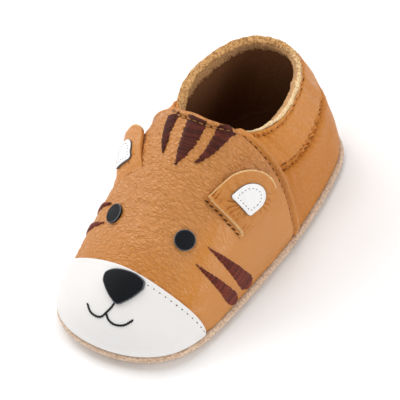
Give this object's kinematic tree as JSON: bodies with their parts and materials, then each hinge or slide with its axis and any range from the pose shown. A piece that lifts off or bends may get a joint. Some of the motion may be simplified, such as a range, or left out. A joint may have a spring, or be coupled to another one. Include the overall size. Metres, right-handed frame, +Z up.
{
  "type": "baby crawling shoe",
  "caption": "Soft leather baby crawling shoe for the left foot, with an animal face on the vamp, an elastic collar and a suede sole with a rubber tread pad.",
  "frame": {"origin": "on the floor, under the middle of the shoe's box", "axes": "toe points to -Y, heel to +Y, +X to the outer side of the left foot, +Z up"},
  "size_m": [0.0616, 0.1274, 0.0562],
  "materials": {
    "caramel_leather": "soft grained, slight sheen",
    "white_leather": "smooth, slight sheen",
    "black_leather": "fine grained, slight sheen",
    "brown_thread": "satin stitch",
    "beige_suede": "napped",
    "brown_rubber": "matt",
    "dark_lining": "matt brushed"
  },
  "bodies": {
    "root": {"upper": "caramel_leather", "outsole": "beige_suede", "tread_pad": "brown_rubber", "insole": "dark_lining", "toe_cap": "white_leather", "nose": "black_leather", "eye_lateral": "black_leather", "eye_medial": "black_leather", "ear_lateral": "caramel_leather", "ear_medial": "caramel_leather", "ear_lining_lateral": "white_leather", "ear_lining_medial": "white_leather", "brow_stripe_middle": "brown_thread", "brow_stripe_lateral": "brown_thread", "brow_stripe_medial": "brown_thread", "cheek_stripe_lateral_front": "brown_thread", "cheek_stripe_lateral_rear": "brown_thread", "cheek_stripe_medial_front": "brown_thread", "cheek_stripe_medial_rear": "brown_thread"}
  },
  "joints": []
}
